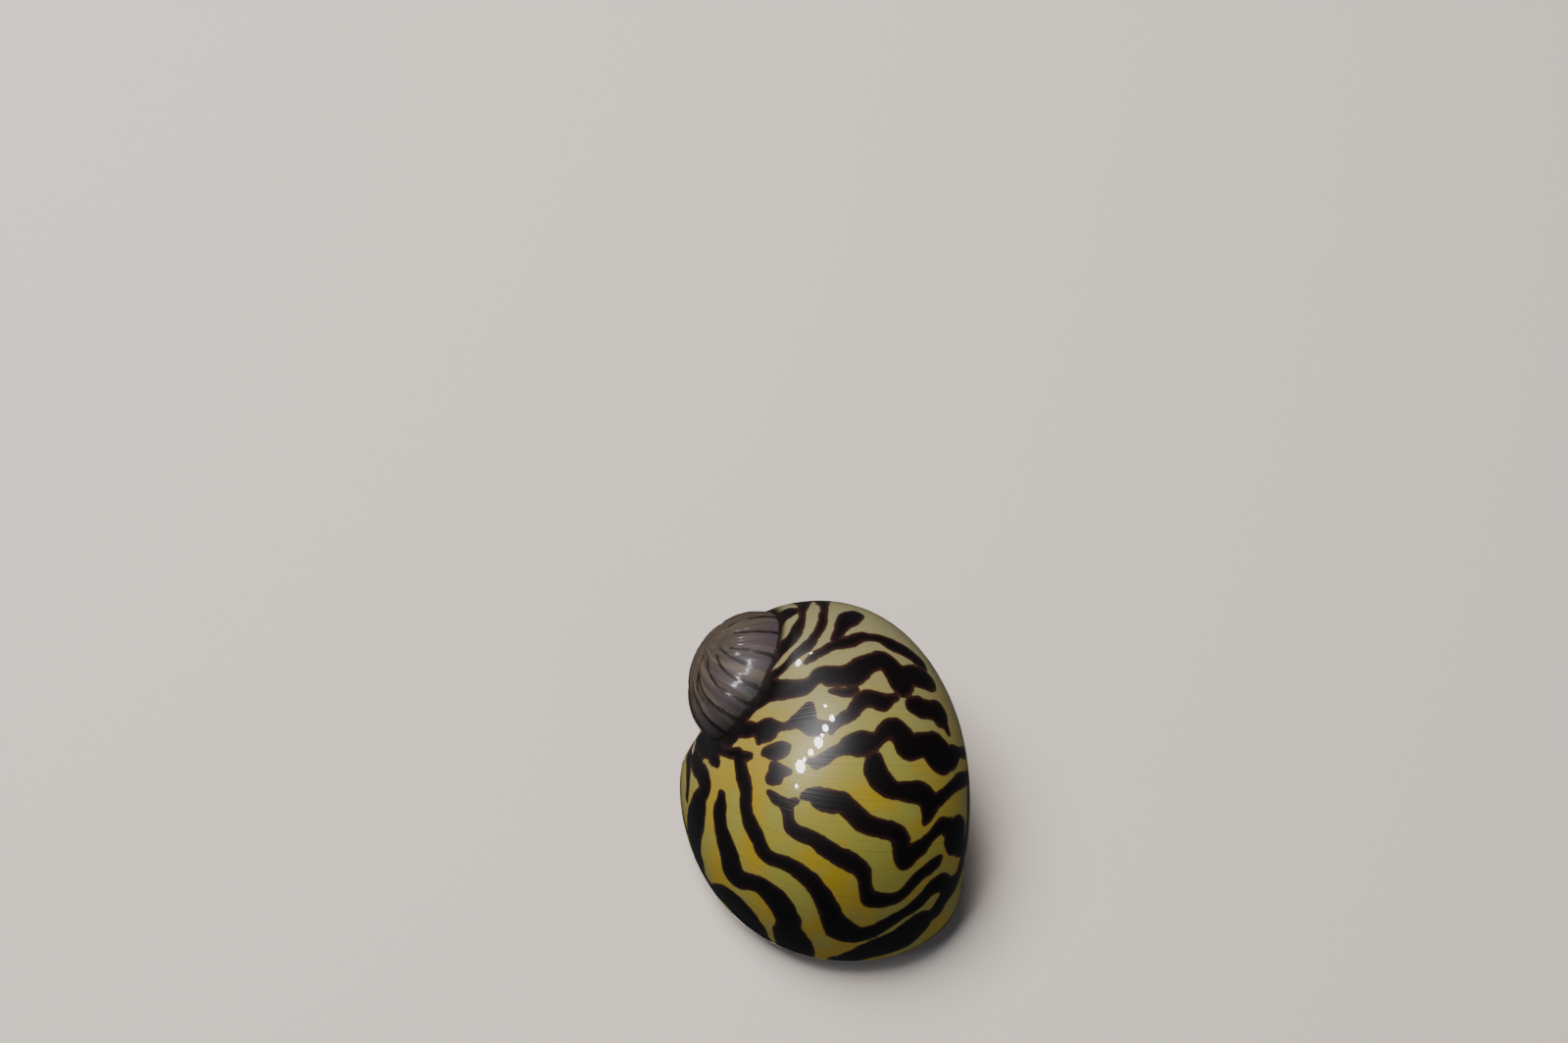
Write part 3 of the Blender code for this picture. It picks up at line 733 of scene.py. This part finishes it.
padAngles = np.arange(shell["padSides"]) * 360 / shell["padSides"]
padOutline = lipCurve(padAngles)
padRows = []
for lift, inset in shell["pad"]:
    row = padOutline.mean(0) + (padOutline - padOutline.mean(0)) * (1 - inset / lip["halfWidth"])
    along, across = lipPlan(row)
    padRows.append(lipToWorld(along, np.maximum(across, shell["padEdge"]), lip["height"] + lift))
pad = skinOver("callus", padRows)

for piece, slot in ((body, "striped_shell"), (spire, "worn_shell"), (pad, "porcelain")):
    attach(piece, "root")
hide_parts("shell_body_whorl")
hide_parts("shell_spire")
print("shell shape")


# Wet polished shell: a clear glossy outer layer over coloured lime, with hair-fine growth lines, and painted
# shade darkening the crease beside the spire.
blotches = ((0.6, 3.0), (1.6, 1.0), (5.0, 1.0), (3.2, 2.0))
made, tree, shader, place, noises = startMaterial("wet polished shell", blotches)
edge = addNode(tree, "ShaderNodeAttribute", {"attribute_name": "pigment"}).outputs["Fac"]
for size, reach in shell["waver"]:
    edge = addNode(tree, "ShaderNodeMath", {"operation": "MULTIPLY_ADD"},
                   {0: noises[size], 1: reach, 2: edge}).outputs[0]
    edge = addNode(tree, "ShaderNodeMath", {"operation": "SUBTRACT"}, {0: edge, 1: reach / 2}).outputs[0]
paintedCreaseShade = addNode(tree, "ShaderNodeAttribute", {"attribute_name": "paintedCreaseShade"}).outputs["Fac"]
age = addNode(tree, "ShaderNodeAttribute", {"attribute_name": "growthAngle"}).outputs["Fac"]
growthLines = addNode(tree, "ShaderNodeTexNoise", {"noise_dimensions": "1D"},
                      {"W": age, "Scale": 1.1, "Detail": 3.0}).outputs["Fac"]
position = addNode(tree, "ShaderNodeSeparateXYZ", None, {"Vector": place})
backwards = addNode(tree, "ShaderNodeMath", {"operation": "MULTIPLY_ADD"},
                    {0: noises[5.0], 1: 0.004, 2: position.outputs["Y"]}).outputs[0]
ground = paintOver(tree, shell["outside"], (
    (noises[3.2], 0.38, 0.64, shell["warm"]),
    (backwards, -0.003, 0.009, shell["cool"]),
    (growthLines, 0.5, 1.1, shell["growthLine"]),
))
stripe = paintOver(tree, shell["stripeEdge"], ((edge, -0.02, -0.34, shell["stripe"]),))
# The stripes over the ground colour, then painted shade that darkens the crease beside the spire.
surface = paintOver(tree, ground, (
    (edge, 0.05, -0.05, stripe),
    (paintedCreaseShade, 0.75, 0.15, shell["paintedCreaseShade"]),
))
finishShader(tree, shader, surface, growthLines, (0.2, 0.05), shell["glaze"])
body.data.materials.append(made)

# Porcelain: the smooth enamel that lines the mouth of the shell, cream with faint olive stains.
made, tree, shader, place, noises = startMaterial("shell porcelain", ((2.4, 3.0), (0.35, 2.0), (0.6, 3.0)))
surface = paintOver(tree, porcelain["cream"], (
    (noises[2.4], 0.42, 0.72, porcelain["stain"]),
    (noises[0.35], 0.55, 0.8, porcelain["milk"]),
))
finishShader(tree, shader, surface, noises[0.6], (0.25, 0.05), porcelain["glaze"])
body.data.materials.append(made)
pad.data.materials.append(made)
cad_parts["shell_columellar_deck"].material_slots[0].material = made
inner = np.arange(len(body.data.polygons)) >= outerFaces
inner[-2 * shell["sides"]:-shell["sides"]] = False   # the fan at the hidden old end
body.data.polygons.foreach_set("material_index", inner.astype(np.int32))

# Worn shell: the polish is gone, so the lime shows as translucent grey with the brown lines thinned.
made, tree, shader, place, noises = startMaterial("worn shell under a water film", ((2.5, 2.0), (0.6, 3.0)))
edge = addNode(tree, "ShaderNodeAttribute", {"attribute_name": "pigment"}).outputs["Fac"]
edge = addNode(tree, "ShaderNodeMath", {"operation": "MULTIPLY_ADD"},
               {0: noises[0.6], 1: 0.2, 2: edge}).outputs[0]
fan = addNode(tree, "ShaderNodeAttribute", {"attribute_name": "fan"}).outputs["Vector"]
folds = addNode(tree, "ShaderNodeTexNoise", None,
                {"Vector": fan, "Scale": 9.0, "Detail": 3.0}).outputs["Fac"]
position = addNode(tree, "ShaderNodeSeparateXYZ", None, {"Vector": place})
down = addNode(tree, "ShaderNodeMath", {"operation": "SUBTRACT"},
               {0: position.outputs["X"], 1: position.outputs["Y"]}).outputs[0]
down = addNode(tree, "ShaderNodeMath", {"operation": "MULTIPLY_ADD"},
               {0: noises[2.5], 1: 0.002, 2: down}).outputs[0]
surface = paintOver(tree, dome["brown"], (
    (down, -0.0125, -0.0085, dome["mauve"]),
    (down, -0.0085, -0.006, dome["slate"]),
    (folds, 0.45, 0.75, dome["pale"]),
    (edge, 0.19, 0.07, dome["line"]),
))
finishShader(tree, shader, surface, folds, (0.5, 0.12), dome["film"])
spire.data.materials.append(made)
print("shell materials")


# Soft body: sole, column, neck, head, snout, tentacles and the mantle's edge under one skin

flesh = {
    "sides": 96,
    "soleCentre": (0.2, -0.9),     # along and across the lip's oval
    "sole": (8.9, 5.5),
    "soleSteps": ((0.0, 0.35), (0.12, 0.1), (0.35, 0.0), (0.58, 0.25)),    # height, inset
    "ripple": (0.05, 17),          # depth and number of the folds along the sole's edge
    "columnCentre": -1.2,
    "columnFront": 2.3,
    "columnInner": 0.4,
    "columnSteps": ((0.75, 2.5), (1.6, 2.6), (2.6, 2.9), (3.2, 3.6)),
    "headX": 1.25,
    "feelerRadii": (0.36, 0.1),
    "feelerSteps": 36,
    "hem": (198, 262, 60),         # angles round the lip, steps
    "hemPlace": (1.75, 2.2, 0.33),   # inset, height and radius
    "hemWave": 0.05,
    "voxel": 0.11,
    "softening": 7,
    "level": 0.00004,              # m, what lies lower is pressed flat on the floor
    "dark": "#1d1a17",
    "olive": "#39342b",
    "fleck": "#8a8064",
    "soleEdge": "#5d5644",
    "slime": {"Roughness": 0.36, "Coat Weight": 0.7, "Coat Roughness": 0.06, "Coat IOR": 1.33},
}
# Rounded masses: name, centre and radii.
masses = (
    ("neck", (0.9, -6.0, 2.3), (2.1, 2.2, 1.2)),
    ("head", (1.25, -7.7, 3.05), (1.85, 1.45, 1.1)),
    ("snout", (1.25, -8.85, 2.15), (1.25, 1.0, 0.82)),
    ("leftLip", (1.7, -9.45, 1.75), (0.5, 0.38, 0.3)),
    ("rightLip", (0.8, -9.45, 1.75), (0.5, 0.38, 0.3)),
)
feeler = (
    (1.2, -8.2, 2.6), (1.5, -8.5, 2.2), (2.1, -8.9, 1.7),
    (3.0, -8.95, 1.3), (4.0, -8.7, 1.08), (5.0, -8.1, 1.0),
)


def footRows():
    turn = np.arange(flesh["sides"]) * 2 * math.pi / flesh["sides"]
    cosine, sine = np.cos(turn), np.sin(turn)
    rows = []
    for height, inset in flesh["soleSteps"]:
        depth, count = flesh["ripple"]
        ripple = depth * np.sin(turn * count) * (height > 0)
        along = flesh["soleCentre"][0] + (flesh["sole"][0] - inset + ripple) * cosine
        across = flesh["soleCentre"][1] + (flesh["sole"][1] - inset + ripple) * sine
        rows.append(lipToWorld(along, across, height))
    for height, inset in flesh["columnSteps"]:
        tail = (lip["halfLength"] - inset) * (1 + lip["taper"] * sine)
        along = np.where(cosine < 0, tail, flesh["columnFront"]) * cosine
        front = lip["halfWidth"] - inset + flesh["columnCentre"]
        across = flesh["columnCentre"] + np.where(sine < 0, front, flesh["columnInner"]) * sine
        rows.append(lipToWorld(along, across, height))
    return rows


def tubeAround(points, radii, sides=20):
    rows = []
    for i, point in enumerate(points):
        ahead = points[min(i + 1, len(points) - 1)] - points[max(i - 1, 0)]
        across = np.cross(ahead, (0, 0, 1))
        across /= np.linalg.norm(across)
        above = np.cross(across, ahead)
        above /= np.linalg.norm(above)
        turn = np.arange(sides)[:, None] * 2 * math.pi / sides
        rows.append(point + radii[i] * (np.cos(turn) * across + np.sin(turn) * above))
    return rows


parts = [skinOver("foot", footRows())]
for name, centre, radii in masses:
    deselect()
    bpy.ops.mesh.primitive_uv_sphere_add(segments=48, ring_count=32, radius=0.001,
                                         location=Vector(centre) * 0.001)
    bpy.context.object.scale = radii
    bpy.ops.object.transform_apply(location=True, rotation=True, scale=True)
    bpy.context.object.name = name
    parts.append(bpy.context.object)
for side in (1, -1):
    path = smoothPath(feeler, flesh["feelerSteps"]) * (side, 1, 1) + (flesh["headX"], 0, 0)
    radii = np.linspace(*flesh["feelerRadii"], flesh["feelerSteps"])
    parts.append(skinOver("feeler", tubeAround(path, radii)))
edgeAngles = np.linspace(*flesh["hem"])
inset, height, radius = flesh["hemPlace"]
hem = levelLip(edgeAngles, inset, height) + (0, 0, 1) * (flesh["hemWave"] * np.sin(edgeAngles))[:, None]
parts.append(skinOver("hem", tubeAround(hem, np.full(len(hem), radius))))
deselect()
for part in parts:
    part.select_set(True)
bpy.context.view_layer.objects.active = parts[0]
bpy.ops.object.join()
softBody = bpy.context.object
softBody.name = "soft_body"
softBody.data.name = "soft_body"
# The remesh works in millimetres, because its voxels can't be smaller than a tenth of a unit here.
softBody.data.transform(Matrix.Scale(1000, 4))
useOnly(softBody)
remesh = softBody.modifiers.new("one skin", "REMESH")
remesh.mode = "VOXEL"
remesh.voxel_size = flesh["voxel"]
bpy.ops.object.modifier_apply(modifier="one skin")
smooth = softBody.modifiers.new("soften", "SMOOTH")
smooth.factor = 0.5
smooth.iterations = flesh["softening"]
bpy.ops.object.modifier_apply(modifier="soften")
softBody.data.transform(Matrix.Scale(0.001, 4))
for vertex in softBody.data.vertices:
    if vertex.co.z < flesh["level"]:
        vertex.co.z = 0
softBody.data.shade_smooth()
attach(softBody, "root")
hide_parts("foot", "mantle_edge", "head", "snout", "tentacle_left", "tentacle_right")

# Wet snail skin: near black and slimy, with pale flecks and a paler hem round the sole.
blotches = ((0.9, 4.0), (0.28, 2.0), (0.7, 2.0), (0.5, 3.0))
made, tree, shader, place, noises = startMaterial("wet snail skin", blotches)
height = addNode(tree, "ShaderNodeSeparateXYZ", None, {"Vector": place}).outputs["Z"]
ragged = addNode(tree, "ShaderNodeMath", {"operation": "MULTIPLY_ADD"},
                 {0: noises[0.7], 1: 0.0003, 2: height}).outputs[0]
surface = paintOver(tree, flesh["dark"], (
    (noises[0.9], 0.45, 0.62, flesh["olive"]),
    (noises[0.28], 0.62, 0.7, flesh["fleck"]),
    (ragged, 0.0006, 0.0003, flesh["soleEdge"]),
))
pores = addNode(tree, "ShaderNodeTexVoronoi", None, {"Vector": place, "Scale": 4200.0}).outputs["Distance"]
wrinkles = addNode(tree, "ShaderNodeMath", {"operation": "ADD"}, {0: pores, 1: noises[0.5]}).outputs[0]
finishShader(tree, shader, surface, wrinkles, (0.6, 0.08), flesh["slime"])
softBody.data.materials.append(made)
print("soft body")

# Eye: a glassy black bead on a short stalk of the same skin.
eye = {
    "tips": {"eye_left": (3.55, -8.25, 3.3), "eye_right": (-1.05, -8.25, 3.3)},
    "stalk": "#6d654f",
    "ring": "#4a4130",
    "bead": "#030304",
    "surface": {"Roughness": 0.15, "Coat Weight": 1.0, "Coat Roughness": 0.02},
}
for name, tip in eye["tips"].items():
    side = name[len("eye_"):]
    blotches = ((0.3, 3.0), (0.15, 2.0))
    made, tree, shader, place, noises = startMaterial(f"glassy bead on a stalk, {side}", blotches)
    away = addNode(tree, "ShaderNodeVectorMath", {"operation": "DISTANCE"},
                   {0: place, 1: Vector(tip) * 0.001}).outputs["Value"]
    surface = paintOver(tree, flesh["dark"], (
        (noises[0.3], 0.45, 0.65, eye["stalk"]),
        (away, 0.00052, 0.00046, eye["ring"]),
        (away, 0.00045, 0.00042, eye["bead"]),
    ))
    finishShader(tree, shader, surface, noises[0.15], (0.25, 0.03), eye["surface"])
    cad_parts[name].material_slots[0].material = made

# Horn: the lid is thin, brown and faintly see-through, laid down in arcs from one corner.
lid = {
    "corner": (0.0034, -0.0038, -0.0011),
    "arcs": {"Scale": 700.0, "Distortion": 1.5, "Detail": 2.0, "Detail Scale": 1.2},
    "dark": "#2a100a",
    "light": "#5a2a15",
    "shade": "#160806",
    "surface": {"Roughness": 0.3, "Coat Weight": 0.5, "Coat Roughness": 0.1},
}
made, tree, shader, place, noises = startMaterial("horn", ((1.8, 2.0),))
fromCorner = addNode(tree, "ShaderNodeMapping", None,
                     {"Vector": place, "Location": lid["corner"]}).outputs["Vector"]
arcs = addNode(tree, "ShaderNodeTexWave", {"wave_type": "RINGS", "rings_direction": "SPHERICAL"},
               {"Vector": fromCorner, **lid["arcs"]}).outputs["Fac"]
surface = addNode(tree, "ShaderNodeMix", {"data_type": "RGBA"},
                  {0: arcs, 6: lid["dark"], 7: lid["light"]}).outputs[2]
surface = paintOver(tree, surface, ((noises[1.8], 0.45, 0.75, lid["shade"]),))
finishShader(tree, shader, surface, arcs, (0.5, 0.06), lid["surface"])
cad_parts["operculum"].material_slots[0].material = made
print("eyes and lid")
